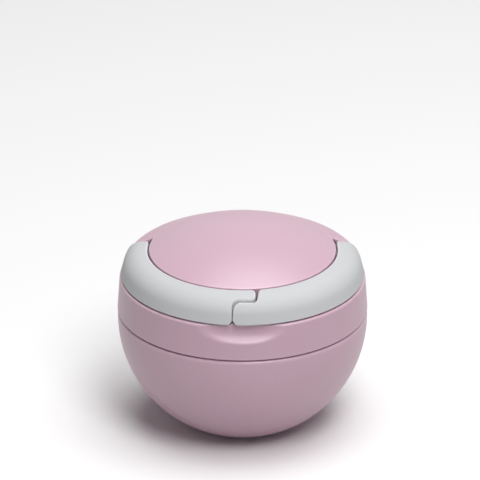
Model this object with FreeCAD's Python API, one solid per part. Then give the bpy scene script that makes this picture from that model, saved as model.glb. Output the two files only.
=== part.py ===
import FreeCAD, Part
import math
import os

os.makedirs("parts", exist_ok=True)

# All sizes are in millimetres and angles in degrees.
# The origin is the centre of the flat under the bowl, +Z is up and -Y is the front.

# Overall radius, at the bottom of the lid's skirt
lid_radius = 32.0

# Bowl: a ball cut flat underneath, with a neck that the lid screws on to
ball_inset = 0.1  # of the ball from the lid
base_radius = 11.0
bowl_wall = 1.8
shoulder_rise = 1.3  # shoulder above the centre of the ball
shoulder_chamfer = 0.6
neck_wall = 1.8
neck_height = 6.35
rim_chamfer = 0.4

# Seal: a flat washer on the neck's rim
seal_thickness = 1.5
seal_width = 2.9

# Lid: skirt, ledge and dome
skirt_wall = 3.3
skirt_taper = 0.6  # how much the skirt's radius drops from bottom to top
skirt_chamfer = 0.4
skirt_gap = 0.3  # between skirt and shoulder when the lid is down
thread_room = 0.9  # between neck and skirt bore
lid_wall = 1.7
ledge_wall = 1.6
dome_rise = 6.2
dome_drop = 0.85  # of the dome's edge, below the top of the handle
dome_chamfer = 0.5

# Finger scoop in the front of the skirt, under the handle's lap
scoop_radius = 5.4
scoop_depth = 1.9

# Band round the dome: the handle in front, the lower rear shoulder of the lid behind
band_height = 7.45
band_width = 6.95
band_inset = 0.75  # of the band's foot from the lid
band_crown_slope = 12.0
band_side_slope = 76.0
band_crown_radius = 5.5
band_round_share = 0.95  # of the crown's or the flank's length, the most that the crown's round may take up
band_chamfer = 0.4  # at the handle's edge next to the dome
rear_slope = 23.0  # of the rear shoulder, which falls away from the dome's edge

# Handle
handle_gap = 0.4  # to the dome
hinge_gap = 0.2  # to the widest part of the dome, at the hinge
handle_lift = 0.3  # to the ledge
handle_wall = 1.6
rear_gap = 0.35  # to the rear shoulder
pivot_set_back = 3.7  # hinge axis behind the centre of the lid
rib_thickness = 1.2
cell_count = 4
cell_first_angle = 8.0  # from the side of the lid
cell_last_angle = 75.0

# Lap between the two halves of the handle
lap_gap = 0.3  # across the lap's two sides
lap_step_gap = 0.5  # across its step, so that the left tongue swings clear
lap_step_inset = 2.95  # of the step from the band's foot
lap_outer_side = -2.6
lap_inner_side = 3.45
lap_lean = 0.5  # of the right half's edge, so that the lap opens towards the dome
lap_tip_share = 0.39  # of the left tongue's width, taken up by each round at its tip
lap_heel_round = 1.5  # inside corner of the left half
lap_shoulder_round = 2.0  # outside corner of the right half
lap_hollow_round = 1.2  # inside corner of the right half
lap_mouth_round = 0.6  # right half, at the dome
lap_mouth_depth = 0.25
lap_tip_slope = 22.0  # left half, where its edge runs out at the dome
lap_mouth_slope = 50.0  # right half, likewise
lap_notch_width = 1.9  # small V at the skirt, where the lap comes out
lap_notch_height = 1.2

# Hinge pegs, split at the end so that they snap into their bosses
peg_radius = 1.6
peg_clearance = 0.05
peg_head_catch = 0.35
peg_head_length = 1.6
peg_end_clearance = 0.2
peg_slot = 0.7
peg_slot_length = 4.0
boss_wall = 1.5
boss_length = 3.6

# Radii
ball_radius = lid_radius - ball_inset
skirt_bore = lid_radius - skirt_wall
skirt_top_radius = lid_radius - skirt_taper
neck_radius = skirt_bore - thread_room
neck_bore = neck_radius - neck_wall
band_radius = lid_radius - band_inset
band_inner = band_radius - band_width
dome_radius = band_inner - handle_gap
dome_bore = dome_radius - lid_wall
dome_curve = (dome_radius ** 2 + dome_rise ** 2) / (2 * dome_rise)
lap_step = band_radius - lap_step_inset
lap_mouth = band_inner + lap_mouth_depth
lap_tip_round = lap_tip_share * (lap_step - lap_step_gap / 2 - lap_mouth)

# Heights
ball_z = math.sqrt(ball_radius ** 2 - base_radius ** 2)
shoulder_z = ball_z + shoulder_rise
rim_z = shoulder_z + neck_height
ledge_under_z = rim_z + seal_thickness
ledge_z = ledge_under_z + ledge_wall
band_top_z = ledge_z + band_height
dome_edge_z = band_top_z - dome_drop
apex_z = dome_edge_z + dome_rise

# Hinge of the handle: its end is a half round about this axis
handle_bottom_z = ledge_z + handle_lift
nose_radius = (band_top_z - handle_bottom_z) / 2
pivot_z = handle_bottom_z + nose_radius
rear_face_y = pivot_set_back + nose_radius + rear_gap
wall_x = math.sqrt(dome_bore ** 2 - pivot_set_back ** 2)
boss_end_x = wall_x - boss_length

# Seal ring, in the middle of the neck's wall and clear of the skirt
seal_outer = neck_radius + thread_room / 2
seal_inner = seal_outer - seal_width

far = 3 * lid_radius
up = FreeCAD.Vector(0, 0, 1)
side = FreeCAD.Vector(1, 0, 0)
centre = FreeCAD.Vector(0, 0, 0)


def section_point(radius, height):
    return FreeCAD.Vector(radius, 0, height)


def plan_point(x, y):
    return FreeCAD.Vector(x, y, 0)


def rounded_face(corners, place):
    # Closed outline through (u, v, round) corners, with a tangent arc where round is not 0
    points = [place(u, v) for u, v, corner_round in corners]
    count = len(corners)
    starts = []
    middles = []
    ends = []
    for i in range(count):
        corner_round = corners[i][2]
        back = (points[i - 1] - points[i]).normalize()
        ahead = (points[(i + 1) % count] - points[i]).normalize()
        half_angle = back.getAngle(ahead) / 2
        reach = corner_round / math.tan(half_angle)
        bulge = corner_round / math.sin(half_angle) - corner_round
        starts.append(points[i] + back * reach)
        middles.append(points[i] + (back + ahead).normalize() * bulge)
        ends.append(points[i] + ahead * reach)
    edges = []
    for i in range(count):
        if corners[i][2] > 0:
            edges.append(Part.Arc(starts[i], middles[i], ends[i]).toShape())
        edges.append(Part.LineSegment(ends[i], starts[(i + 1) % count]).toShape())
    return Part.Face(Part.Wire(edges))


def turned(corners):
    # Solid turned about Z from (radius, height, ball) corners.
    # Where ball is not None, an arc about that height on the axis leads to the corner instead of a line.
    points = [section_point(radius, height) for radius, height, ball in corners]
    edges = []
    for i in range(len(corners)):
        ball = corners[i][2]
        if ball is None:
            edges.append(Part.LineSegment(points[i - 1], points[i]).toShape())
        else:
            middle = section_point(0, ball)
            reach = (points[i] - middle).Length
            halfway = (points[i - 1] + points[i] - middle * 2).normalize() * reach
            edges.append(Part.Arc(points[i - 1], middle + halfway, points[i]).toShape())
    return Part.Face(Part.Wire(edges)).revolve(centre, up, 360)


def ball_height(ball_curve, radius):
    # Height of a ball's surface above or below its centre, at this distance from the axis
    return math.sqrt(ball_curve ** 2 - radius ** 2)


def rod(x_from, x_to, radius, y, z):
    start = FreeCAD.Vector(min(x_from, x_to), y, z)
    return Part.makeCylinder(radius, abs(x_to - x_from), start, side)


def half_space_behind(y):
    return Part.makeBox(2 * far, 2 * far, 2 * far, FreeCAD.Vector(-far, y, -far))


def meeting_point(a, a_slope, b, b_slope):
    # Where a line falling outwards at a_slope through a meets one at b_slope through b
    a_fall = math.tan(math.radians(a_slope))
    b_fall = math.tan(math.radians(b_slope))
    radius = (a[1] - b[1] + a[0] * a_fall - b[0] * b_fall) / (a_fall - b_fall)
    return radius, a[1] - (radius - a[0]) * a_fall


def band_corners(inner, bottom, crest, crest_slope, inset):
    # Section of the band round the dome from inner outwards: a crown that falls at crest_slope through crest,
    # and a flank through the band's foot, both drawn in by inset
    crown = math.radians(crest_slope)
    flank = math.radians(band_side_slope)
    crown_point = (crest[0] - inset * math.sin(crown), crest[1] - inset * math.cos(crown))
    flank_point = (band_radius - inset * math.sin(flank), ledge_z - inset * math.cos(flank))
    top = crown_point[1] - (inner - crown_point[0]) * math.tan(crown)
    outer = flank_point[0] - (bottom - flank_point[1]) / math.tan(flank)
    bend = meeting_point(crown_point, crest_slope, flank_point, band_side_slope)
    crown_length = math.hypot(bend[0] - inner, bend[1] - top)
    flank_length = math.hypot(bend[0] - outer, bend[1] - bottom)
    longest_round = band_round_share * min(crown_length, flank_length) / math.tan((flank - crown) / 2)
    return [
        (inner, bottom, 0),
        (outer, bottom, 0),
        (bend[0], bend[1], min(band_crown_radius - inset, longest_round)),
        (inner, top, 0),
    ]


def handle_section(inner, bottom, inset):
    return band_corners(inner, bottom, (band_inner, band_top_z), band_crown_slope, inset)


def make_handle_ring():
    # The handle as a whole ring, with its edge at the dome broken, turned so that its seam lies at the back
    corners = handle_section(band_inner, handle_bottom_z, 0)[:-1]
    edge_top = band_top_z - band_chamfer * math.tan(math.radians(band_crown_slope))
    corners.append((band_inner + band_chamfer, edge_top, 0))
    corners.append((band_inner, edge_top - band_chamfer, 0))
    ring = rounded_face(corners, section_point).revolve(centre, up, 360)
    ring.rotate(centre, up, 90)
    return ring


def make_rear_shoulder():
    inner = dome_radius - lid_wall / 2
    corners = band_corners(inner, ledge_z, (dome_radius, dome_edge_z), rear_slope, 0)
    shoulder = rounded_face(corners, section_point).revolve(centre, up, 360)
    return shoulder.common(half_space_behind(rear_face_y))


def make_bowl():
    edge_z = shoulder_z - shoulder_chamfer
    edge_radius = ball_height(ball_radius, edge_z - ball_z)
    hollow_curve = ball_radius - bowl_wall
    floor_radius = ball_height(hollow_curve, ball_z - bowl_wall)
    return turned([
        (0, 0, None),
        (base_radius, 0, None),
        (edge_radius, edge_z, ball_z),
        (edge_radius - shoulder_chamfer, shoulder_z, None),
        (neck_radius, shoulder_z, None),
        (neck_radius, rim_z - rim_chamfer, None),
        (neck_radius - rim_chamfer, rim_z, None),
        (neck_bore + rim_chamfer, rim_z, None),
        (neck_bore, rim_z - rim_chamfer, None),
        (neck_bore, ball_z - ball_height(hollow_curve, neck_bore), None),
        (floor_radius, bowl_wall, ball_z),
        (0, bowl_wall, None),
    ])


def make_seal():
    return turned([
        (seal_inner, rim_z, None),
        (seal_outer, rim_z, None),
        (seal_outer, ledge_under_z, None),
        (seal_inner, ledge_under_z, None),
    ])


def make_cover():
    # Skirt, ledge and dome, without the rear shoulder
    bottom_z = shoulder_z + skirt_gap
    dome_z = apex_z - dome_curve
    hollow_curve = dome_curve - lid_wall
    edge_radius = dome_radius - dome_chamfer
    edge_z = dome_z + ball_height(dome_curve, edge_radius)
    return turned([
        (skirt_bore, bottom_z, None),
        (lid_radius - skirt_chamfer, bottom_z, None),
        (lid_radius, bottom_z + skirt_chamfer, None),
        (skirt_top_radius, ledge_z - skirt_chamfer, None),
        (skirt_top_radius - skirt_chamfer, ledge_z, None),
        (dome_radius, ledge_z, None),
        (dome_radius, edge_z - dome_chamfer, None),
        (edge_radius, edge_z, None),
        (0, apex_z, dome_z),
        (0, apex_z - lid_wall, None),
        (dome_bore, dome_z + ball_height(hollow_curve, dome_bore), dome_z),
        (dome_bore, ledge_under_z, None),
        (skirt_bore, ledge_under_z, None),
    ])


def make_lid():
    body = make_cover().fuse(make_rear_shoulder()).removeSplitter()

    pocket_top = dome_edge_z - (seal_inner - dome_radius) * math.tan(math.radians(rear_slope)) - lid_wall
    pocket = Part.makeCylinder(seal_inner, pocket_top - ledge_under_z, section_point(0, ledge_under_z))
    pocket = pocket.common(half_space_behind(rear_face_y + lid_wall))
    scoop_y = -(skirt_top_radius - scoop_depth) - scoop_radius
    scoop = rod(-far, far, scoop_radius, scoop_y, ledge_z)
    body = body.cut([pocket, scoop])

    bore_radius = peg_radius + peg_clearance
    boss_radius = bore_radius + boss_wall
    boss_root_x = wall_x + lid_wall / 2
    for way in (-1, 1):
        boss = rod(way * boss_end_x, way * boss_root_x, boss_radius, pivot_set_back, pivot_z)
        bore = rod(way * boss_end_x, way * far, bore_radius, pivot_set_back, pivot_z)
        body = body.fuse(boss).cut(bore)
    return body.removeSplitter()


def left_of_lap(way):
    # All that lies on the left of the edge that one half has at the lap, in plan from the skirt to the dome.
    # At the dome the edge turns to the left (-1) or right (1) half's own side.
    if way < 0:
        rounds = (lap_heel_round, lap_tip_round, lap_tip_round)
        lean = 0
        slope = lap_tip_slope
    else:
        rounds = (lap_shoulder_round, lap_hollow_round, lap_mouth_round)
        lean = lap_lean
        slope = lap_mouth_slope
    shift = way * lap_gap / 2
    outer = lap_outer_side + shift
    inner = lap_inner_side + shift
    step = -lap_step - way * lap_step_gap / 2
    splay = way * 3 * lap_tip_round
    rise = abs(splay) * math.tan(math.radians(slope))
    outline = [
        (-far, -far, 0),
        (outer, -far, 0),
        (outer, step, rounds[0]),
        (inner, step, rounds[1]),
        (inner + lean, -lap_mouth, rounds[2]),
        (inner + lean + splay, -lap_mouth + rise, 0),
        (inner + lean + splay, far, 0),
        (-far, far, 0),
    ]
    return rounded_face(outline, plan_point).extrude(up * far)


def make_notch():
    half_width = lap_notch_width / 2
    corners = [
        (lap_outer_side - half_width, handle_bottom_z, 0),
        (lap_outer_side + half_width, handle_bottom_z, 0),
        (lap_outer_side, handle_bottom_z + lap_notch_height, 0),
    ]
    return rounded_face(corners, section_point).extrude(FreeCAD.Vector(0, -far, 0))


def make_cells():
    # Hollows in the underside of the left half, with radial ribs between them
    corners = handle_section(band_inner + handle_wall, ledge_z - handle_lift, handle_wall)
    section = rounded_face(corners, section_point)
    pitch = (cell_last_angle - cell_first_angle) / cell_count
    rib_angle = math.degrees(rib_thickness / band_inner)
    cells = []
    for i in range(cell_count):
        cell = section.revolve(centre, up, pitch - rib_angle)
        cell.rotate(centre, up, 180 + cell_first_angle + i * pitch + rib_angle / 2)
        cells.append(cell)
    return cells


def make_peg(way):
    # Hinge peg with a split barbed head inside the boss
    head_x = boss_end_x - peg_end_clearance
    tip_x = head_x - peg_head_length
    stem = rod(way * head_x, way * (wall_x + lid_wall + handle_wall), peg_radius, pivot_set_back, pivot_z)
    head_start = FreeCAD.Vector(way * head_x, pivot_set_back, pivot_z)
    head_radius = peg_radius + peg_head_catch
    head = Part.makeCone(head_radius, peg_radius - peg_head_catch, peg_head_length, head_start, side * -way)
    slot_corner = FreeCAD.Vector(-peg_slot_length, pivot_set_back - far / 2, pivot_z - peg_slot / 2)
    slot = Part.makeBox(2 * peg_slot_length, far, peg_slot, slot_corner)
    slot.translate(side * way * tip_x)
    return stem.fuse(head).removeSplitter().cut(slot)


def make_handle(way):
    # way is -1 for the left half and 1 for the right half
    nose = rod(-far, far, nose_radius, pivot_set_back, pivot_z)
    behind = half_space_behind(pivot_set_back).cut(nose)
    half = make_handle_ring().cut(behind)
    if way < 0:
        half = half.common(left_of_lap(way))
    else:
        half = half.cut(left_of_lap(way))
    cells = make_cells()
    if way > 0:
        cells = [cell.mirror(centre, side) for cell in cells]
    cheek_x = dome_radius + hinge_gap
    cheek = Part.makeBox(2 * cheek_x, far, far, FreeCAD.Vector(-cheek_x, 0, 0))
    return half.cut([cheek, make_notch()] + cells).fuse(make_peg(way)).removeSplitter()


def save(shape, node):
    solids = shape.Solids
    print(node, "solids", len(solids), "valid", shape.isValid(), "volume", round(shape.Volume, 1))
    if len(solids) == 1:
        shape = solids[0]
    shape.exportStep("parts/" + node + ".step")


save(make_bowl(), "bowl")
save(make_seal(), "lid_seal")
save(make_lid(), "lid")
save(make_handle(-1), "handle_left")
save(make_handle(1), "handle_right")
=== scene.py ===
import math
import bmesh
import bpy
import numpy as np
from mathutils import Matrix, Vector


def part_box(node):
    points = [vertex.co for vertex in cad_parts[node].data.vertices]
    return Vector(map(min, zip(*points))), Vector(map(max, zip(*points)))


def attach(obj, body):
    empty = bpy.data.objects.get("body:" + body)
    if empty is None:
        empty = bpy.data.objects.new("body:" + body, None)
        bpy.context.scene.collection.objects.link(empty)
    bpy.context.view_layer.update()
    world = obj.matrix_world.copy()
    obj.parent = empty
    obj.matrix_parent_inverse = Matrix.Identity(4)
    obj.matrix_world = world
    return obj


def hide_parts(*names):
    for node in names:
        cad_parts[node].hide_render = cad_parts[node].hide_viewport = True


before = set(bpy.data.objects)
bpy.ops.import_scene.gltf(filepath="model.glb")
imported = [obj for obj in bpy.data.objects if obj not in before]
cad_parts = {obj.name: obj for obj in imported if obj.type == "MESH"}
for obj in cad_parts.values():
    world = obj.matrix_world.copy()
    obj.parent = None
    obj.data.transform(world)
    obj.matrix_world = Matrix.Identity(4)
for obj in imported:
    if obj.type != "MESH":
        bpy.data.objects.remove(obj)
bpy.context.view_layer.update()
print("frame loaded:", ", ".join(sorted(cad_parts)))

mm = 0.001  # all shapes below are worked out in millimetres


def heightOf(node, corner):
    # height of a node's lowest (0) or highest (1) corner in millimetres
    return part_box(node)[corner].z / mm


# sizes that more than one piece uses; the band is the ring round the dome in which the handle lies
fit = dict(
    lidRadius=32.0,
    rimZ=heightOf("bowl", 1),  # top of the neck
    skirtZ=heightOf("lid", 0),  # foot of the skirt
    apexZ=heightOf("lid", 1),  # top of the dome
    ledgeUnderZ=heightOf("lid_seal", 1),  # underside of the ledge that carries the handle
    ledgeWall=1.6,
    bandInset=0.75,  # from the skirt in to the band's foot
    bandWidth=6.95,
    bandHeight=7.45,
    domeDrop=0.15,  # from the band's crest down to the dome's edge
    handleLift=0.3,  # air under the handle
    handleGap=0.4,  # air between handle and dome
    hingeGap=0.2,  # air beside the handle's noses
    pivotY=3.7,
    threadLead=10.0,
    threadRoom=0.9,  # between neck and skirt
    sealOuter=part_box("lid_seal")[1].x / mm,
)
ledgeZ = fit["ledgeUnderZ"] + fit["ledgeWall"]
bandTopZ = ledgeZ + fit["bandHeight"]
bandFoot = fit["lidRadius"] - fit["bandInset"]
bandInner = bandFoot - fit["bandWidth"]
domeRadius = bandInner - fit["handleGap"]
domeEdgeZ = bandTopZ - fit["domeDrop"]
cheekX = domeRadius + fit["hingeGap"]  # flat inner face of the handle's noses
handleZ = ledgeZ + fit["handleLift"]
noseRadius = (bandTopZ - handleZ) / 2
pivotZ = handleZ + noseRadius
neckRadius = fit["sealOuter"] - fit["threadRoom"] / 2
skirtBore = neckRadius + fit["threadRoom"]


# mesh helpers

meshing = dict(merge=0.002, sharpAngle=38.0, cornerSteps=11, turnSteps=288, hingeSteps=64)
wearAndHighlight = dict(leastBend=0.4, bendRange=1.2)  # bend per millimetre where the edge mask starts, and on to its full value; the mask drives rubbing and a painted edge highlight


def gridFaces(rows, cols, wrapCols=False, first=0):
    # one quad between each four neighbours of a rows x cols grid of points, which are numbered from first;
    # on wish the last column is joined to the first
    i = np.arange(rows - 1)[:, None]
    j = np.arange(cols if wrapCols else cols - 1)[None, :]
    k = (j + 1) % cols
    row, nextRow = i * cols, (i + 1) * cols
    quads = np.stack([row + j, row + k, nextRow + k, nextRow + j], -1)
    return (quads + first).reshape(-1, 4)


# this edge mark also places the painted edge highlight of the finishes
def markEdges(mesh):
    # how sharply the surface bends outwards at each point, 0 on broad faces and 1 on rounded edges:
    # the change of normal along an edge over the edge's length, the sharpest of the point's edges
    spots = np.empty(len(mesh.vertices) * 3)
    normals = np.empty_like(spots)
    ends = np.empty(len(mesh.edges) * 2, np.int32)
    mesh.vertices.foreach_get("co", spots)
    mesh.vertex_normals.foreach_get("vector", normals)
    mesh.edges.foreach_get("vertices", ends)
    spots = spots.reshape(-1, 3) / mm
    normals = normals.reshape(-1, 3)
    start, end = ends.reshape(-1, 2).T
    span = spots[end] - spots[start]
    bend = ((normals[end] - normals[start]) * span).sum(1) / (span ** 2).sum(1)
    sharpest = np.zeros(len(spots))
    np.maximum.at(sharpest, start, bend)
    np.maximum.at(sharpest, end, bend)
    mask = mesh.attributes.new("edge", "FLOAT", "POINT")
    mask.data.foreach_set("value", np.clip((sharpest - wearAndHighlight["leastBend"]) / wearAndHighlight["bendRange"], 0, 1))


def makePiece(name, grids, body, caps=()):
    # grids are (points rows x cols x 3 in millimetres, wrapCols); caps are flat rings of points, closed by
    # triangles to the ring's middle; points that meet are merged and all faces turned outwards
    points, faces, count = [], [], 0
    for grid, wrapCols in grids:
        rows, cols = grid.shape[:2]
        points.append(grid.reshape(-1, 3))
        faces += gridFaces(rows, cols, wrapCols, count).tolist()
        count += rows * cols
    for ring in caps:
        points += [ring, ring.mean(0)[None]]
        i = np.arange(len(ring))
        fan = np.stack([i, (i + 1) % len(ring), np.full_like(i, len(ring))], -1)
        faces += (fan + count).tolist()
        count += len(ring) + 1
    mesh = bpy.data.meshes.new(name)
    mesh.from_pydata((np.concatenate(points) * mm).tolist(), [], faces)
    work = bmesh.new()
    work.from_mesh(mesh)
    bmesh.ops.remove_doubles(work, verts=work.verts, dist=meshing["merge"] * mm)
    bmesh.ops.recalc_face_normals(work, faces=work.faces)
    work.to_mesh(mesh)
    work.free()
    mesh.shade_smooth()
    markEdges(mesh)
    mesh.set_sharp_from_angle(angle=math.radians(meshing["sharpAngle"]))
    piece = bpy.data.objects.new(name, mesh)
    bpy.context.scene.collection.objects.link(piece)
    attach(piece, body)
    print("made", name, len(mesh.polygons), "faces")
    return piece


def arcPoints(middle, radius, start, end, count):
    # points of a circle about middle, from angle start to angle end in degrees
    angle = np.radians(np.linspace(start, end, count))
    return np.stack([middle[0] + radius * np.cos(angle), middle[1] + radius * np.sin(angle)], -1)


def roundedPath(corners, spacing, closed=False):
    # straight runs through (u, v, round) corners, each corner cut by the arc of that radius that touches
    # both runs: its middle lies on the line that halves the corner, radius over sine of the half angle away
    spots = np.array([corner[:2] for corner in corners], float)
    pieces = []
    for i, corner in enumerate(corners):
        atEnd = not closed and i in (0, len(corners) - 1)
        if atEnd or corner[2] == 0:
            pieces.append(spots[i:i + 1])
            continue
        back = spots[i - 1] - spots[i]
        ahead = spots[(i + 1) % len(spots)] - spots[i]
        back, ahead = back / np.linalg.norm(back), ahead / np.linalg.norm(ahead)
        half = math.acos(np.clip(back @ ahead, -1, 1)) / 2
        middle = spots[i] + (back + ahead) / np.linalg.norm(back + ahead) * corner[2] / math.sin(half)
        sweep = np.linspace(-1, 1, meshing["cornerSteps"])[:, None] * (math.pi / 2 - half)
        inward = (spots[i] - middle) / np.linalg.norm(spots[i] - middle)
        across = (ahead - back) / np.linalg.norm(ahead - back)
        pieces.append(middle + corner[2] * (inward * np.cos(sweep) + across * np.sin(sweep)))
    path = np.concatenate(pieces + [pieces[0][:1]] if closed else pieces)
    return evenly(path, spacing)


def evenly(path, spacing):
    # the same line with each run cut into equal steps, none longer than spacing
    step = np.linalg.norm(np.diff(path, axis=0), axis=1)
    count = np.maximum(np.ceil(step / spacing).astype(int), 1)
    start = np.repeat(np.cumsum(np.r_[0, step[:-1]]), count)
    offset = np.arange(count.sum()) - np.repeat(np.cumsum(np.r_[0, count[:-1]]), count)
    along = np.r_[start + offset * np.repeat(step / count, count), step.sum()]
    return atLength(path, along)


def lengthsOf(path):
    # distance along a line at each of its points: the running sum of its runs
    return np.r_[0, np.cumsum(np.linalg.norm(np.diff(path, axis=0), axis=1))]


def atLength(path, along):
    # points at these distances along a line, on the straight runs between its points
    length = lengthsOf(path)
    return np.stack([np.interp(along, length, path[:, k]) for k in range(path.shape[1])], -1)


def turned(profile, segments=meshing["turnSteps"]):
    # (radius, height) rows carried round the Z axis: radius times cosine and sine of the turn
    angle = np.linspace(0, 2 * math.pi, segments, endpoint=False)[None, :]
    radius, height = profile[:, :1], profile[:, 1:]
    return np.stack([radius * np.cos(angle), radius * np.sin(angle), height + 0 * angle], -1)


def turnedOnX(profile, side):
    # (radius, distance from the middle) rows carried round the hinge axis, on the left (-1) or right (1)
    rings = turned(profile, meshing["hingeSteps"])
    return np.stack([side * rings[..., 2], fit["pivotY"] + rings[..., 0], pivotZ + rings[..., 1]], -1)


def edgeDrop(distance, radius):
    # how far a surface falls near its edge to end in a quarter round: radius less the circle's height there
    near = np.clip(radius - distance, 0, radius)
    return radius - np.sqrt(radius ** 2 - near ** 2)


def softMin(a, b, blend):
    # the smaller of two values, less a parabola where they are closer than blend, for a round changeover
    near = np.clip(blend - np.abs(a - b), 0, None) / blend
    return np.minimum(a, b) - near ** 2 * blend / 4


def clustered(count):
    # 0 to 1 with more points near both ends: half of one less the cosine of an even sweep
    return (1 - np.cos(np.linspace(0, math.pi, count))) / 2


# finishes

def addSocket(group, name, kind, way, value=None):
    # one named socket on a node group, with a value for inputs that have one
    socket = group.interface.new_socket(name=name, in_out=way, socket_type=kind)
    if value is not None:
        socket.default_value = value


def mouldGrain():
    # fine spark-eroded grain for bump, and slow cloudiness of the pigment: two noises of different scale
    group = bpy.data.node_groups.new("mouldGrain", "ShaderNodeTree")
    addSocket(group, "Vector", "NodeSocketVector", "INPUT")
    addSocket(group, "Grain Scale", "NodeSocketFloat", "INPUT", 2600.0)
    addSocket(group, "Cloud Scale", "NodeSocketFloat", "INPUT", 60.0)
    addSocket(group, "Height", "NodeSocketFloat", "OUTPUT")
    addSocket(group, "Cloud", "NodeSocketFloat", "OUTPUT")
    nodes, links = group.nodes, group.links
    entry, leave = nodes.new("NodeGroupInput"), nodes.new("NodeGroupOutput")
    grain, cloud = nodes.new("ShaderNodeTexNoise"), nodes.new("ShaderNodeTexNoise")
    grain.inputs["Detail"].default_value = 3.0
    grain.inputs["Roughness"].default_value = 0.6
    cloud.inputs["Detail"].default_value = 2.0
    for noise, scale in ((grain, "Grain Scale"), (cloud, "Cloud Scale")):
        links.new(entry.outputs["Vector"], noise.inputs["Vector"])
        links.new(entry.outputs[scale], noise.inputs["Scale"])
    links.new(grain.outputs["Fac"], leave.inputs["Height"])
    links.new(cloud.outputs["Fac"], leave.inputs["Cloud"])
    return group


def edgeRubAndHighlight():
    # painted edge highlight, partly where handling polishes the plastic: the mark of convex edges times a
    # noise, scaled to an amount
    group = bpy.data.node_groups.new("edgeRubAndHighlight", "ShaderNodeTree")
    addSocket(group, "Vector", "NodeSocketVector", "INPUT")
    addSocket(group, "Amount", "NodeSocketFloat", "INPUT", 0.5)
    addSocket(group, "Mask", "NodeSocketFloat", "OUTPUT")
    nodes, links = group.nodes, group.links
    entry, leave = nodes.new("NodeGroupInput"), nodes.new("NodeGroupOutput")
    edge, noise = nodes.new("ShaderNodeAttribute"), nodes.new("ShaderNodeTexNoise")
    edge.attribute_name = "edge"
    broken, amount = nodes.new("ShaderNodeMapRange"), nodes.new("ShaderNodeMapRange")
    noise.inputs["Scale"].default_value = 420.0
    noise.inputs["Detail"].default_value = 4.0
    broken.inputs["From Min"].default_value = 0.2
    broken.inputs["From Max"].default_value = 0.55
    both = nodes.new("ShaderNodeMath")
    both.operation = "MULTIPLY"
    links.new(entry.outputs["Vector"], noise.inputs["Vector"])
    links.new(noise.outputs["Fac"], broken.inputs["Value"])
    links.new(edge.outputs["Fac"], both.inputs[0])
    links.new(broken.outputs["Result"], both.inputs[1])
    links.new(both.outputs[0], amount.inputs["Value"])
    links.new(entry.outputs["Amount"], amount.inputs["To Max"])
    links.new(amount.outputs["Result"], leave.inputs["Mask"])
    return group


def srgb(red, green, blue):
    # linear colour of a 0 to 255 screen colour, by the sRGB curve
    part = np.array([red, green, blue]) / 255
    linear = np.where(part <= 0.04045, part / 12.92, ((part + 0.055) / 1.055) ** 2.4)
    return (*linear.tolist(), 1.0)


grainGroup = mouldGrain()
rubAndHighlightGroup = edgeRubAndHighlight()
moulding = dict(polish=-0.12, grainDepth=0.02, grainRange=(0.3, 0.7))  # the same for every finish


def makeFinish(name, look):
    # moulded plastic: pigment clouds in the colour, grain in bump and roughness, rubbed edges glossier and
    # lighter by a painted edge highlight
    material = bpy.data.materials.new(name)
    material.use_nodes = True
    nodes, links = material.node_tree.nodes, material.node_tree.links
    shader, spot = nodes["Principled BSDF"], nodes.new("ShaderNodeTexCoord")
    grain, rubAndHighlight = nodes.new("ShaderNodeGroup"), nodes.new("ShaderNodeGroup")
    grain.node_tree, rubAndHighlight.node_tree = grainGroup, rubAndHighlightGroup
    grain.inputs["Grain Scale"].default_value = look["grainScale"]
    grain.inputs["Cloud Scale"].default_value = look["cloudScale"]
    rubAndHighlight.inputs["Amount"].default_value = look["rubAndHighlight"]
    pigment, lit = nodes.new("ShaderNodeMix"), nodes.new("ShaderNodeMix")
    for mix in (pigment, lit):
        mix.data_type = "RGBA"
    pigment.inputs["A"].default_value = srgb(*look["dark"])
    pigment.inputs["B"].default_value = srgb(*look["light"])
    # the rubbed colour is a painted highlight along the edges, partly standing for wear
    lit.inputs["B"].default_value = srgb(*look["rubbedWithHighlight"])
    gloss, polish = nodes.new("ShaderNodeMapRange"), nodes.new("ShaderNodeMath")
    gloss.inputs["From Min"].default_value, gloss.inputs["From Max"].default_value = moulding["grainRange"]
    gloss.inputs["To Min"].default_value, gloss.inputs["To Max"].default_value = look["rough"]
    polish.operation = "MULTIPLY_ADD"
    polish.inputs[1].default_value = moulding["polish"]
    bump = nodes.new("ShaderNodeBump")
    bump.inputs["Strength"].default_value = look["bump"]
    bump.inputs["Distance"].default_value = moulding["grainDepth"] * mm
    for group in (grain, rubAndHighlight):
        links.new(spot.outputs["Object"], group.inputs["Vector"])
    links.new(grain.outputs["Cloud"], pigment.inputs["Factor"])
    links.new(pigment.outputs["Result"], lit.inputs["A"])
    links.new(rubAndHighlight.outputs["Mask"], lit.inputs["Factor"])
    links.new(lit.outputs["Result"], shader.inputs["Base Color"])
    links.new(grain.outputs["Height"], gloss.inputs["Value"])
    links.new(rubAndHighlight.outputs["Mask"], polish.inputs[0])
    links.new(gloss.outputs["Result"], polish.inputs[2])
    links.new(polish.outputs[0], shader.inputs["Roughness"])
    links.new(grain.outputs["Height"], bump.inputs["Height"])
    links.new(bump.outputs["Normal"], shader.inputs["Normal"])
    shader.inputs["IOR"].default_value = look["ior"]
    shader.inputs["Specular IOR Level"].default_value = look["specular"]
    return material


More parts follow.
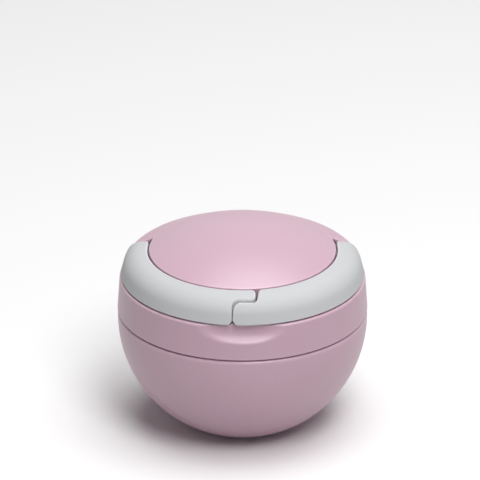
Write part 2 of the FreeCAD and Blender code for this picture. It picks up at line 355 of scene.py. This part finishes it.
# the rubbed colours are painted edge highlights, lighter than each plastic
pinkPlastic = makeFinish("pinkPlastic", dict(
    dark=(199, 162, 179), light=(204, 168, 184), rubbedWithHighlight=(218, 186, 201), rubAndHighlight=0.5, rough=(0.36, 0.44),
    grainScale=2600.0, cloudScale=60.0, bump=0.25, ior=1.49, specular=0.95))
greyPlastic = makeFinish("greyPlastic", dict(
    dark=(203, 204, 206), light=(207, 208, 210), rubbedWithHighlight=(221, 222, 224), rubAndHighlight=0.8, rough=(0.55, 0.63),
    grainScale=2600.0, cloudScale=70.0, bump=0.25, ior=1.49, specular=0.12))
clearSilicone = makeFinish("clearSilicone", dict(
    dark=(224, 222, 218), light=(232, 230, 226), rubbedWithHighlight=(236, 234, 230), rubAndHighlight=0.2, rough=(0.5, 0.6),
    grainScale=1800.0, cloudScale=90.0, bump=0.15, ior=1.41, specular=0.4))
print("finishes made")


# bowl: a ball cut flat underneath, with a straight neck

bowl = dict(
    ballRadius=31.9, baseRadius=11.0, baseEdge=0.4, wall=1.8, insideRound=9.0,
    shoulderRise=1.3, shoulderRound=0.7, shoulderFrom=5.0,  # its arc starts some degrees up
    neckWall=1.8, neckFillet=0.5, neckRun=0.3, rimRound=0.55,
    floorRings=(4.0, 8.0), hollowEnd=0.9,  # the hollow runs on to this share of the base, cut at the floor
    ballSteps=110, shoulderSteps=8, blendSteps=24, hollowSteps=50, spacing=0.5,
)
ballZ = math.sqrt(bowl["ballRadius"] ** 2 - bowl["baseRadius"] ** 2)


def bowlProfile(part):
    # from the middle of the base out over the ball, up the neck, over the rim and down the inside to the
    # middle of the floor; the bore runs into the ball's hollow by an arc that touches both
    radius, hollow = part["ballRadius"], part["ballRadius"] - part["wall"]
    shoulderZ = ballZ + part["shoulderRise"]
    bore = neckRadius - part["neckWall"]
    low = -math.degrees(math.acos(part["baseRadius"] / radius))
    high = math.degrees(math.asin((part["shoulderRise"] - part["shoulderRound"]) / radius))
    edge = radius * math.cos(math.radians(high)) - part["shoulderRound"]
    base = np.array([(ring, 0) for ring in (0, *part["floorRings"], part["baseRadius"] - part["baseEdge"])])
    ball = arcPoints((0, ballZ), radius, low, high, part["ballSteps"])
    shoulder = arcPoints((edge, shoulderZ - part["shoulderRound"]), part["shoulderRound"],
                         part["shoulderFrom"], 90, part["shoulderSteps"])
    neck = roundedPath([(edge - part["neckRun"], shoulderZ, 0), (neckRadius, shoulderZ, part["neckFillet"]),
                        (neckRadius, fit["rimZ"], part["rimRound"]), (bore, fit["rimZ"], part["rimRound"]),
                        (bore, ballZ, 0)], part["spacing"])
    blend = part["insideRound"]
    blendX = bore - blend
    blendZ = -math.sqrt((hollow - blend) ** 2 - blendX ** 2)
    turn = math.degrees(math.atan2(blendZ, blendX))
    deepest = -math.degrees(math.acos(part["baseRadius"] * part["hollowEnd"] / hollow))
    inside = np.concatenate([arcPoints((blendX, ballZ + blendZ), blend, 0, turn, part["blendSteps"]),
                             arcPoints((0, ballZ), hollow, turn, deepest, part["hollowSteps"])[1:]])
    inside = inside[inside[:, 1] > part["wall"]]
    floor = np.array([(ring, part["wall"]) for ring in (*part["floorRings"][::-1], 0)])
    return np.concatenate([base, ball, shoulder, neck, inside, floor])


bowlBody = makePiece("bowlBody", [(turned(bowlProfile(bowl)), True)], "bowl")
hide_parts("bowl")


# threads: low ridges on the neck and inside the skirt, same lead, so that they slide past each other

thread = dict(starts=3, turnShare=0.3, height=0.55, width=1.3, sink=0.3, lowZ=33.0, skirtStart=40.0,
              runIn=0.12, plumpness=0.7, steps=90, sides=15)


def ridges(wallRadius, outward, startAngle, lowZ, part):
    # half-round sections carried up a helix about Z, one for each start; a ridge grows out of the wall from
    # a point over its run-in, by a smooth step, and sinks back to a point at its end
    along = np.linspace(0, 1, part["steps"])[:, None]
    section = np.linspace(0, math.pi, part["sides"])[None, :]
    swell = np.clip(np.minimum(along, 1 - along) / part["runIn"], 0, 1)
    swell = swell * swell * (3 - 2 * swell)
    wide = part["width"] / 2 * np.sqrt(swell)
    bulge = -part["sink"] + (part["height"] + part["sink"]) * swell * np.sin(section) ** part["plumpness"]
    radius = wallRadius + outward * bulge
    height = lowZ + fit["threadLead"] * part["turnShare"] * along - wide * np.cos(section)
    grids = []
    for start in startAngle + 360 / part["starts"] * np.arange(part["starts"]):
        angle = np.radians(start) + 2 * math.pi * part["turnShare"] * along + 0 * section
        grids.append((np.stack([radius * np.cos(angle), radius * np.sin(angle), height], -1), True))
    return grids


neckRidges = ridges(neckRadius, 1, 0, thread["lowZ"], thread)
bowlThread = makePiece("bowlThread", neckRidges, "bowl")


# seal: a flat washer with rounded edges on the neck's rim

seal = dict(width=2.9, edgeRound=0.35, spacing=0.4)


def sealProfile(part):
    # a rectangle from rim to ledge, as wide as given inwards from the outer radius, with rounded corners
    low, high, outer = fit["rimZ"], fit["ledgeUnderZ"], fit["sealOuter"]
    spots = ((outer - part["width"], low), (outer, low), (outer, high), (outer - part["width"], high))
    return roundedPath([(*spot, part["edgeRound"]) for spot in spots], part["spacing"], True)


sealRing = makePiece("sealRing", [(turned(sealProfile(seal)), True)], "seal")
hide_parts("lid_seal")


# lid: skirt with a finger scoop, ledge and dome

lid = dict(
    wall=1.7, domeRound=0.35, domeFillet=0.4,
    skirtTaper=0.6, skirtRound=0.55, lipRound=0.3, lipInset=1.2, ledgeRound=0.4, ledgeRun=0.2,
    scoopRadius=5.4, scoopDepth=1.9, scoopSoft=0.4, scoopFront=-0.2,  # cuts where the turn's sine is less
    segments=320, wallSteps=12, edgeSteps=12, capSteps=60, skirtSteps=64, ledgeSteps=16, filletSteps=7,
    spacing=0.5,
)
domeRise = fit["apexZ"] - domeEdgeZ
domeCurve = (domeRadius ** 2 + domeRise ** 2) / (2 * domeRise)
domeZ = fit["apexZ"] - domeCurve


def domeProfile(radius, curve, foot, part):
    # from the foot up the wall, round its edge and over the cap to the axis; the edge's arc touches both
    edge = radius - part["domeRound"]
    edgeZ = domeZ + math.sqrt((curve - part["domeRound"]) ** 2 - edge ** 2)
    lean = math.degrees(math.atan2(edgeZ - domeZ, edge))
    wall = np.stack([np.full(part["wallSteps"], radius), np.linspace(foot, edgeZ, part["wallSteps"])], -1)
    rim = arcPoints((edge, edgeZ), part["domeRound"], 0, lean, part["edgeSteps"])
    cap = arcPoints((0, domeZ), curve, lean, 90, part["capSteps"])
    return np.concatenate([wall[:-1], rim, cap[1:]])


def skirtRadius(height, angle, part):
    # a wall that tapers evenly and is rounded at both ends; in front it is cut back to a cylinder along X at
    # the ledge's height, with a soft lower edge
    rise = ledgeZ - fit["skirtZ"]
    line = fit["lidRadius"] - part["skirtTaper"] * ((height - fit["skirtZ"]) / rise)
    scoopY = -(fit["lidRadius"] - part["skirtTaper"] - part["scoopDepth"]) - part["scoopRadius"]
    reach = np.sqrt(np.clip(part["scoopRadius"] ** 2 - (height - ledgeZ) ** 2, 0, None))
    front = np.minimum(np.sin(angle), part["scoopFront"])
    scooped = (reach > 0) & (np.sin(angle) < part["scoopFront"])
    cut = np.where(scooped, (scoopY + reach) / front, 2 * fit["lidRadius"])
    foot = edgeDrop(height - fit["skirtZ"], part["skirtRound"])
    top = edgeDrop(ledgeZ - height, part["skirtRound"])
    return softMin(line, cut, part["scoopSoft"]) - (foot + top)


def lidSurface(part):
    # rings about Z: inside from the cap's middle down to the skirt's foot, then up the skirt, over the ledge
    # and the dome
    angle = np.linspace(0, 2 * math.pi, part["segments"], endpoint=False)[None, :]
    bore = domeRadius - part["wall"]
    inner = domeProfile(bore, domeCurve - part["wall"], fit["ledgeUnderZ"], part)[::-1]
    skirtIn = roundedPath([(bore + part["ledgeRun"], fit["ledgeUnderZ"], 0),
                           (skirtBore, fit["ledgeUnderZ"], part["ledgeRound"]),
                           (skirtBore, fit["skirtZ"], part["lipRound"]),
                           (fit["lidRadius"] - part["lipInset"], fit["skirtZ"], 0)], part["spacing"])
    height = fit["skirtZ"] + (ledgeZ - fit["skirtZ"]) * clustered(part["skirtSteps"])[:, None]
    skirt = skirtRadius(height, angle, part)
    fillet = arcPoints((domeRadius + part["domeFillet"], ledgeZ + part["domeFillet"]), part["domeFillet"],
                       270, 180, part["filletSteps"])
    dome = domeProfile(domeRadius, domeCurve, ledgeZ + part["domeFillet"], part)
    outer = np.concatenate([fillet[:-1], dome])
    run = np.linspace(1, 0, part["ledgeSteps"])[1:-1, None]
    ledge = fillet[0, 0] + run * (skirt[-1:] - fillet[0, 0])
    inside = np.concatenate([inner, skirtIn])
    flat = np.ones_like(angle)
    radius = np.concatenate([inside[:, :1] * flat, skirt, ledge, outer[:, :1] * flat])
    level = np.concatenate([inside[:, 1:] * flat, height * flat, np.full_like(ledge, ledgeZ),
                            outer[:, 1:] * flat])
    return np.stack([radius * np.cos(angle), radius * np.sin(angle), level], -1)


lidCover = makePiece("lidCover", [(lidSurface(lid), True)], "lid")
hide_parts("lid")
threadPitch = fit["threadLead"] / thread["starts"]
onNeck = thread["lowZ"] + fit["threadLead"] * thread["skirtStart"] / 360
skirtLowZ = onNeck - threadPitch / 2  # midway between the neck's ridges
skirtRidges = ridges(skirtBore, -1, thread["skirtStart"], skirtLowZ, thread)
lidThread = makePiece("lidThread", skirtRidges, "lid")


# band round the dome: handle in front, lower rear shoulder of the lid behind

band = dict(crownSlope=12.0, sideSlope=76.0, crownRadius=5.5, edgeRound=0.45, below=1.0, steps=400)


def bandProfile(part, crest, slope, inset=0.0):
    # (radius, height) from the dome outwards: crown line through crest, crown arc and flank line, all drawn
    # in by inset; on a line, the product of point and normal is the line's reach; the arc touches both lines
    lean = np.radians([slope, part["sideSlope"]])
    normal = np.stack([np.sin(lean), np.cos(lean)], -1)
    reach = np.array([normal[0] @ crest, normal[1] @ (bandFoot, ledgeZ)])
    middle = np.linalg.solve(normal, reach - part["crownRadius"])
    sweep = np.linspace(lean[0], lean[1], part["steps"])
    arc = middle + (part["crownRadius"] - inset) * np.stack([np.sin(sweep), np.cos(sweep)], -1)
    inner, foot = crest[0] + inset, ledgeZ - part["below"]
    start = [inner, (reach[0] - inset - normal[0, 0] * inner) / normal[0, 1]]
    end = [(reach[1] - inset - normal[1, 1] * foot) / normal[1, 0], foot]
    return np.concatenate([[start], arc, [end]])


handleCrest = (bandInner, bandTopZ)
outline = bandProfile(band, handleCrest, band["crownSlope"])


def crownHeight(radius, line=outline):
    # height of the band's outline at a radius, straight between its points
    return np.interp(radius, line[:, 0], line[:, 1])


def flankRadius(height):
    # radius of the handle's outline at a height, straight between its points
    return np.interp(-height, -outline[:, 1], outline[:, 0])


rear = dict(gap=0.35, slope=26.0, sunk=0.35, tuck=0.6, thinning=8, spacing=0.35, endSteps=9, sweepSteps=170)


def rearSurface(part):
    # section carried round the back, cut off flat on both sides behind the handle's noses; over the last bit
    # of each end the section shrinks along a quarter circle, which rounds the end's edge
    faceY = fit["pivotY"] + noseRadius + part["gap"]
    innerRadius, baseZ = domeRadius - part["tuck"], ledgeZ - part["sunk"]
    crestZ = domeEdgeZ + part["tuck"] * math.tan(math.radians(part["slope"]))
    crown = bandProfile(band, (innerRadius, crestZ), part["slope"])
    crown = crown[crown[:, 1] > baseZ][::part["thinning"]]
    corners = np.concatenate([[(innerRadius, baseZ), (flankRadius(baseZ), baseZ)], crown[::-1]])
    section = roundedPath([(*corner, 0) for corner in corners], part["spacing"], True)[:-1]
    along = np.roll(section, -1, 0) - np.roll(section, 1, 0)
    inward = np.stack([-along[:, 1], along[:, 0]], -1) / np.linalg.norm(along, axis=1)[:, None]
    turn = np.linspace(0, math.pi / 2, part["endSteps"])[:, None]
    shrink = band["edgeRound"] * (1 - np.sin(turn))
    setBack = band["edgeRound"] * (1 - np.cos(turn))
    rows = section + shrink[..., None] * inward
    start = np.arcsin((faceY + setBack) / rows[..., 0])
    share = np.linspace(0, 1, part["sweepSteps"])[1:-1, None]
    angle = np.concatenate([start, start[-1:] + share * (math.pi - 2 * start[-1:]), math.pi - start[::-1]])
    shape = np.concatenate([rows, np.repeat(rows[-1:], len(share), 0), rows[::-1]])
    return np.stack([shape[..., 0] * np.cos(angle), shape[..., 0] * np.sin(angle), shape[..., 1]], -1)


rearGrid = rearSurface(rear)
lidRear = makePiece("lidRear", [(rearGrid, True)], "lid", caps=[rearGrid[0], rearGrid[-1]])


# hinge bosses inside the dome and the pegs that snap into them

hinge = dict(
    pegRadius=1.6, clearance=0.05, bossWall=1.5, bossLength=3.6, bossRounds=(0.25, 0.35), rootDepth=1.0,
    headCatch=0.35, headLength=1.6, headRun=0.02, endClearance=0.2, tipLength=0.3, tipCatch=-0.6,
    slot=0.7, slotLength=4.0, slotGap=0.05, stemReach=2.0, prongSteps=21, spacing=0.5, stemSpacing=0.4,
)
wallX = math.sqrt((domeRadius - lid["wall"]) ** 2 - fit["pivotY"] ** 2)
bossX = wallX - hinge["bossLength"]


def bossSurface(side, part):
    # a tube about the hinge axis, from inside the dome's wall to a rounded end
    bore = part["pegRadius"] + part["clearance"]
    outside = bore + part["bossWall"]
    root = wallX + part["rootDepth"]
    boreRound, outerRound = part["bossRounds"]
    profile = [(bore, root, 0), (bore, bossX, boreRound), (outside, bossX, outerRound), (outside, root, 0)]
    return turnedOnX(roundedPath(profile, part["spacing"], True), side)


bosses = [(bossSurface(side, hinge), True) for side in (-1, 1)]
lidBosses = makePiece("lidBosses", bosses, "lid")


def pegSurfaces(side, part):
    # a round stem, and on either side of the slot a prong with a barbed head; a prong's section is the part
    # of a circle beyond half the slot's width
    headX = bossX - part["endClearance"]
    tipX = headX - part["headLength"]
    splitX = tipX + part["slotLength"]
    root, peg, catch = domeRadius + part["stemReach"], part["pegRadius"], part["headCatch"]
    stem = np.array([[0, root], [peg, root], [peg, splitX], [0, splitX]])
    grids, caps = [(turnedOnX(evenly(stem, part["stemSpacing"]), side), True)], []
    barb = [headX + part["headRun"], headX, tipX + part["tipLength"], tipX]
    place = np.array([splitX + part["slotGap"], *barb])
    wide = peg + np.array([0, 0, catch, part["tipCatch"] * catch, -catch])
    low = np.arcsin(part["slot"] / 2 / wide)[:, None]
    angle = low + (math.pi - 2 * low) * np.linspace(0, 1, part["prongSteps"])[None, :]
    for up in (-1, 1):
        prong = np.stack([side * place[:, None] + 0 * angle, fit["pivotY"] + wide[:, None] * np.cos(angle),
                          pivotZ + up * wide[:, None] * np.sin(angle)], -1)
        grids.append((prong, True))
        caps += [prong[0], prong[-1]]
    return grids, caps


# handle halves: a plan patch between four edges, lifted to its height, drawn with the hinge on the left

handle = dict(
    edgeRound=0.45, footRound=0.4, thinnest=0.03, wall=1.6, noseSoft=0.5, cheekFrom=3.0, farAway=9.0,
    ribThickness=1.2, cells=4, cellFrom=8.0, cellTo=75.0,
    ribEdge=0.1, wallEdge=0.004,  # half widths of the cells' steep sides, in degrees and as a share across
    notchWidth=1.9, notchHeight=1.2, notchMargin=0.3,
    sweepFrom=5.0, sweepTo=75.5,  # degrees from the hinge's side between which the rows are radial
    noseSteps=22, backSteps=12, sweepSteps=150, leadSteps=14, lapSteps=130, acrossSteps=44, wallSteps=8,
)
lap = dict(
    gap=0.3, stepGap=0.5, stepInset=2.95, outer=-2.6, inner=3.45, mouthDepth=0.25, splay=4.2, overrun=1.0,
    lean={-1: 0.0, 1: 0.5}, mouthSlope={-1: 22.0, 1: 50.0},
    rounds={-1: (1.5, 1.365, 1.365), 1: (2.0, 1.2, 0.6)},
    partner={-1: (-4.3, -3.05, -1.4, 1.6), 1: (-7.2, -4.9, -3.0, 0.6)},  # x of the rows' other ends
    tipEase=1.3, turnReach=0.8, spacing=0.03,
    zone=9.0, zoneY=-20.0,  # plan points this near to the middle and in front of that may be near the lap
)
footZ = handleZ + handle["footRound"]  # where the outer wall ends and the rounded edge underneath begins
ribHalf = math.degrees(handle["ribThickness"] / bandInner) / 2
cellPitch = (handle["cellTo"] - handle["cellFrom"]) / handle["cells"]


def notchLift(x, side):
    # height of the small V at the skirt above the handle's bottom, falling evenly to both sides of the lap
    away = np.abs(x + side * lap["outer"])
    return handle["notchHeight"] * np.clip(1 - away / (handle["notchWidth"] / 2), 0, 1)


def lapLine(side, part):
    # the lap's edge in plan, from the skirt to the dome: in, along the step, in again, aside at the mouth;
    # its corners are rounded, and it is cut at the band's two radii; also where its corners are
    shift = side * part["gap"] / 2
    outer = -side * (part["outer"] + shift)
    inner = -side * (part["inner"] + shift)
    mouthX = inner - side * part["lean"][side]
    step = -(bandFoot - part["stepInset"]) - side * part["stepGap"] / 2
    mouth = -bandInner - part["mouthDepth"]
    rise = part["splay"] * math.tan(math.radians(part["mouthSlope"][side]))
    rounds = part["rounds"][side]
    line = roundedPath([(outer, -bandFoot - part["overrun"], 0), (outer, step, rounds[0]),
                        (inner, step, rounds[1]), (mouthX, mouth, rounds[2]),
                        (mouthX - part["splay"], mouth + rise, 0)], part["spacing"])
    foot = flankRadius(footZ + notchLift(outer, side))
    radius = np.hypot(line[:, 0], line[:, 1])
    line = line[(radius <= foot) & (radius >= bandInner)]
    line[0] *= foot / np.hypot(*line[0])
    line[-1] *= bandInner / np.hypot(*line[-1])
    return line, (outer, inner, step, max(rounds))


def noseEdges(part):
    # plan edges behind the pivot: inside, the flat cheek or the band's circle, whichever is further out;
    # outside, the flank at the height of the round nose's underside
    y = fit["pivotY"] + noseRadius * np.sin(np.linspace(math.pi / 2, 0, part["noseSteps"]))
    low = pivotZ - np.sqrt(np.clip(noseRadius ** 2 - (y - fit["pivotY"]) ** 2, 0, None))
    outer = flankRadius(low + part["footRound"])
    innerX = np.maximum(cheekX, np.sqrt(bandInner ** 2 - y ** 2))
    return np.stack([-innerX, y], -1), np.stack([-np.sqrt(outer ** 2 - y ** 2), y], -1)


def arcEdge(radius, endRow, part):
    # plan edge on a circle from the pivot to the lap's first row, by angle from the left side to the front:
    # a stretch from the pivot, an even sweep with a close pair of rows at each border of a cell, and a
    # stretch on to the lap
    borders = part["cellFrom"] + cellPitch * np.arange(part["cells"] + 1)
    borders = np.concatenate([borders[:-1] + ribHalf, borders[1:] - ribHalf])
    sweep = np.sort(np.concatenate([np.linspace(part["sweepFrom"], part["sweepTo"], part["sweepSteps"]),
                                    borders - part["ribEdge"], borders + part["ribEdge"]]))
    ease = np.linspace(0, 1, part["backSteps"])[1:-1]
    back = np.degrees(-math.asin(fit["pivotY"] / radius)) * (1 - ease) + part["sweepFrom"] * ease
    lead = np.linspace(0, 1, part["leadSteps"])[1:-1]
    end = np.degrees(np.arctan2(-endRow[1], -endRow[0]))
    angle = np.radians(np.concatenate([back, sweep, part["sweepTo"] + lead * (end - part["sweepTo"])]))
    return np.stack([-radius * np.cos(angle), -radius * np.sin(angle)], -1)


def lapRows(side, part):
    # inner and outer end of each row along the lap, the edge of the tongue's tip, each row's share of the
    # way, and the lap's whole edge; one end follows the lap, the other runs on its own circle to the tip
    line, (outer, inner, step, widest) = lapLine(side, lap)
    tipInside = side < 0  # the left half's tongue lies inside, the right half's outside
    tipX, hollowX = (inner, outer) if tipInside else (outer, inner)
    if not tipInside:
        line = line[::-1]
    tip = int(np.argmin(np.linalg.norm(line - (tipX, step), axis=1)))
    lapEdge, tipEdge = line[:tip + 1], line[tip:][::-1]
    length = lengthsOf(lapEdge)
    share = 1 - (1 - np.linspace(0, 1, part["lapSteps"])) ** lap["tipEase"]
    lapRow = atLength(lapEdge, share * length[-1])
    hollowAt = length[int(np.argmin(np.linalg.norm(lapEdge - (hollowX, step), axis=1)))]
    turnLength = lap["turnReach"] * widest
    stations = [0, hollowAt - turnLength, hollowAt + turnLength, length[-1] - turnLength, length[-1]]
    x = np.interp(share * length[-1], stations, (*lap["partner"][side], tipEdge[0, 0]))
    radius = bandInner if tipInside else flankRadius(footZ + notchLift(x, side))
    otherRow = np.stack([x, -np.sqrt(radius ** 2 - x ** 2)], -1)
    rows = (otherRow, lapRow) if tipInside else (lapRow, otherRow)
    return *rows, tipEdge, share, line


def handlePlan(side, part):
    # plan points by row from the hinge to the lap's tip, each row straight from its inner to its outer edge;
    # along the lap the rows bend more and more to the tip's edge; also each point's distance from the lap
    foot = flankRadius(footZ)
    lapInner, lapOuter, tipEdge, share, line = lapRows(side, part)
    noseInner, noseOuter = noseEdges(part)
    arcInner = arcEdge(bandInner, lapInner[0], part)
    arcInner[:, 0] = np.where(arcInner[:, 1] > 0, np.minimum(arcInner[:, 0], -cheekX), arcInner[:, 0])
    arcOuter = arcEdge(foot, lapOuter[0], part)
    footLift = notchLift(arcOuter[:, 0], side) * (arcOuter[:, 1] < 0)
    arcOuter *= (flankRadius(footZ + footLift) / foot)[:, None]
    innerEdge = np.concatenate([noseInner, arcInner, lapInner])
    outerEdge = np.concatenate([noseOuter, arcOuter, lapOuter])
    follow = np.concatenate([np.zeros(len(noseInner) + len(arcInner)), share ** 2])
    cellIn = part["wall"] / (flankRadius(handleZ) - bandInner)
    wallPair = [cellIn - part["wallEdge"], cellIn + part["wallEdge"]]
    across = np.sort(np.concatenate([clustered(part["acrossSteps"]), wallPair]))
    tipLength = lengthsOf(tipEdge)[-1]
    tipRow = atLength(tipEdge if side < 0 else tipEdge[::-1], across * tipLength)
    chord = innerEdge[-1] + across[:, None] * (outerEdge[-1] - innerEdge[-1])
    plan = innerEdge[:, None] + across[None, :, None] * (outerEdge - innerEdge)[:, None]
    plan = plan + follow[:, None, None] * (tipRow - chord)[None]
    spots = plan.reshape(-1, 2)
    toLap = np.full(len(spots), part["farAway"])
    near = np.flatnonzero((spots[:, 1] < lap["zoneY"]) & (np.abs(spots[:, 0]) < lap["zone"]))
    toLap[near] = np.sqrt(((spots[near][:, None] - line[None, ::2]) ** 2).sum(-1)).min(1)
    return plan[..., 0], plan[..., 1], toLap.reshape(plan.shape[:2])


def handleHeights(x, y, toLap, side, part):
    # top and underside over plan points: the band's crown or the round nose, whichever is lower, falling off
    # in quarter rounds at lap and dome; below, the nose or the notch, or the roof of a cell between two ribs
    radius = np.hypot(x, y)
    beside = np.abs(radius - bandInner) + part["farAway"] * (y > part["cheekFrom"])
    toDome = np.where(y > 0, np.minimum(-x - cheekX, beside), radius - bandInner)
    behind = np.clip(y - fit["pivotY"], 0, noseRadius)
    nose = np.sqrt(np.clip(noseRadius ** 2 - behind ** 2, 0, None))
    top = softMin(crownHeight(radius), pivotZ + nose, part["noseSoft"])
    top = top - np.maximum(edgeDrop(toLap, part["edgeRound"]), edgeDrop(toDome, part["edgeRound"]))
    atNotch = (y < -bandInner) & (radius > bandFoot - lap["stepInset"] + part["notchMargin"])
    low = pivotZ - nose + notchLift(x, side) * atNotch
    low = low + edgeDrop(flankRadius(low + part["footRound"]) - radius, part["footRound"])
    top = np.maximum(top, low + np.where(y < 0, part["thinnest"], 0))
    angle = np.degrees(np.arctan2(-y, -x))
    phase = np.mod(angle - part["cellFrom"], cellPitch)
    inCell = (angle > part["cellFrom"]) & (angle < part["cellTo"])
    inCell &= (phase > ribHalf) & (phase < cellPitch - ribHalf)
    inCell &= radius > bandInner + part["wall"]
    ceiling = crownHeight(radius, bandProfile(band, handleCrest, band["crownSlope"], part["wall"]))
    return top, np.where(inCell, np.maximum(low, ceiling), low)


def handleSurface(side, part):
    # each row is a closed ring: top from the dome outwards, down the outer wall, back underneath and up the
    # inner wall; the tip is closed by a wall between the last row's top and underside
    x, y, toLap = handlePlan(side, part)
    top, under = handleHeights(x, y, toLap, side, part)
    mirror = -side  # the right half is mirrored
    topGrid = np.stack([mirror * x, y, top], -1)
    underGrid = np.stack([mirror * x, y, under], -1)
    levels = np.linspace(0, 1, part["wallSteps"])
    drop = levels[None, 1:-1, None]
    wallOut = topGrid[:, -1:] + drop * (underGrid[:, -1:] - topGrid[:, -1:])
    wallIn = underGrid[:, :1] + drop * (topGrid[:, :1] - underGrid[:, :1])
    ring = np.concatenate([topGrid, wallOut, underGrid[:, ::-1], wallIn], 1)
    endCap = topGrid[-1][None] + levels[:, None, None] * (underGrid[-1] - topGrid[-1])[None]
    return [(ring, True), (endCap, False)]


greyPieces = []
for side, sideName in ((-1, "left"), (1, "right")):
    body = "handle_" + sideName
    half = makePiece("handle" + sideName.title(), handleSurface(side, handle), body)
    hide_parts(body)
    pegGrids, pegCaps = pegSurfaces(side, hinge)
    peg = makePiece("handlePeg" + sideName.title(), pegGrids, body, pegCaps)
    greyPieces += [half, peg]

for piece in (bowlBody, bowlThread, lidCover, lidThread, lidRear, lidBosses):
    piece.data.materials.append(pinkPlastic)
for piece in greyPieces:
    piece.data.materials.append(greyPlastic)
sealRing.data.materials.append(clearSilicone)
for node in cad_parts.values():
    node.data.materials.clear()
    node.data.materials.append(clearSilicone if node.name == "lid_seal" else
                               greyPlastic if node.name.startswith("handle") else pinkPlastic)
print("pieces dressed")


# floor, light and camera

studio = dict(
    floorSize=6.0, floorColour=(210, 210, 210), floorRough=0.9, white=(1, 1, 1, 1), world=0.13,
    sensor=36.0, elevation=25.0, distance=3.0, field=122.9, aimUp=18.7, aimAside=-0.64,
    lamps=dict(overhead=dict(place=(0.1, -0.02, 0.95), size=0.85, power=6.7),
               front=dict(place=(0.2, -0.6, 0.8), size=0.45, power=4.1)),
)
ballMiddle = Vector((0, 0, ballZ * mm))


def whiteRays(nodes, links):
    # 1 for rays that see white surroundings, from the camera, mirrored or let through: the largest of three
    ray, total = nodes.new("ShaderNodeLightPath"), None
    for kind in ("Is Camera Ray", "Is Glossy Ray", "Is Transmission Ray"):
        if total is None:
            total = ray.outputs[kind]
            continue
        either = nodes.new("ShaderNodeMath")
        either.operation = "MAXIMUM"
        links.new(total, either.inputs[0])
        links.new(ray.outputs[kind], either.inputs[1])
        total = either.outputs[0]
    return total


def makeFloor(part):
    # a square about the origin, white where it is seen and a little darker for the light that it throws back
    half = part["floorSize"] / 2
    corners = [(-half, -half, 0), (half, -half, 0), (half, half, 0), (-half, half, 0)]
    mesh = bpy.data.meshes.new("floor")
    mesh.from_pydata(corners, [], [(0, 1, 2, 3)])
    floor = bpy.data.objects.new("floor", mesh)
    bpy.context.scene.collection.objects.link(floor)
    material = bpy.data.materials.new("paleFloor")
    material.use_nodes = True
    nodes, links = material.node_tree.nodes, material.node_tree.links
    shader, tone = nodes["Principled BSDF"], nodes.new("ShaderNodeMix")
    tone.data_type = "RGBA"
    tone.inputs["A"].default_value = srgb(*part["floorColour"])
    tone.inputs["B"].default_value = part["white"]
    links.new(whiteRays(nodes, links), tone.inputs["Factor"])
    links.new(tone.outputs["Result"], shader.inputs["Base Color"])
    shader.inputs["Roughness"].default_value = part["floorRough"]
    shader.inputs["Specular IOR Level"].default_value = 0.0
    mesh.materials.append(material)


def makeWorld(part):
    # white where it is seen, softer light for everything else
    world = bpy.data.worlds.new("studio")
    bpy.context.scene.world = world
    world.use_nodes = True
    nodes, links = world.node_tree.nodes, world.node_tree.links
    light, seen = nodes["Background"], nodes.new("ShaderNodeBackground")
    both = nodes.new("ShaderNodeMixShader")
    light.inputs["Color"].default_value = part["white"]
    light.inputs["Strength"].default_value = part["world"]
    seen.inputs["Color"].default_value = part["white"]
    seen.inputs["Strength"].default_value = 1.0
    links.new(whiteRays(nodes, links), both.inputs["Fac"])
    links.new(light.outputs["Background"], both.inputs[1])
    links.new(seen.outputs["Background"], both.inputs[2])
    links.new(both.outputs["Shader"], nodes["World Output"].inputs["Surface"])


def makeLamp(name, part):
    # a round area lamp turned towards the middle of the ball
    light = bpy.data.lights.new(name, "AREA")
    light.shape = "DISK"
    light.size = part["size"]
    light.energy = part["power"]
    lamp = bpy.data.objects.new(name, light)
    lamp.location = part["place"]
    lamp.rotation_euler = (ballMiddle - lamp.location).to_track_quat("-Z", "Y").to_euler()
    bpy.context.scene.collection.objects.link(lamp)


def makeCamera(part):
    # looks down by the elevation at a point moved up and aside in the picture from the middle of the ball;
    # the lens is the sensor's width times the distance over the width of the field there
    lens = bpy.data.cameras.new("camera")
    lens.sensor_width = part["sensor"]
    lens.lens = part["sensor"] * part["distance"] / (part["field"] * mm)
    lens.dof.use_dof = False
    camera = bpy.data.objects.new("camera", lens)
    tilt = math.radians(part["elevation"])
    upward = Vector((0, math.sin(tilt), math.cos(tilt)))
    aim = ballMiddle + upward * part["aimUp"] * mm + Vector((part["aimAside"] * mm, 0, 0))
    camera.location = aim + Vector((0, -math.cos(tilt), math.sin(tilt))) * part["distance"]
    camera.rotation_euler = (math.pi / 2 - tilt, 0, 0)
    bpy.context.scene.collection.objects.link(camera)
    bpy.context.scene.camera = camera


makeFloor(studio)
makeWorld(studio)
for lampName, lampPart in studio["lamps"].items():
    makeLamp(lampName, lampPart)
makeCamera(studio)
bpy.context.scene.view_settings.view_transform = "Standard"
print("studio set")
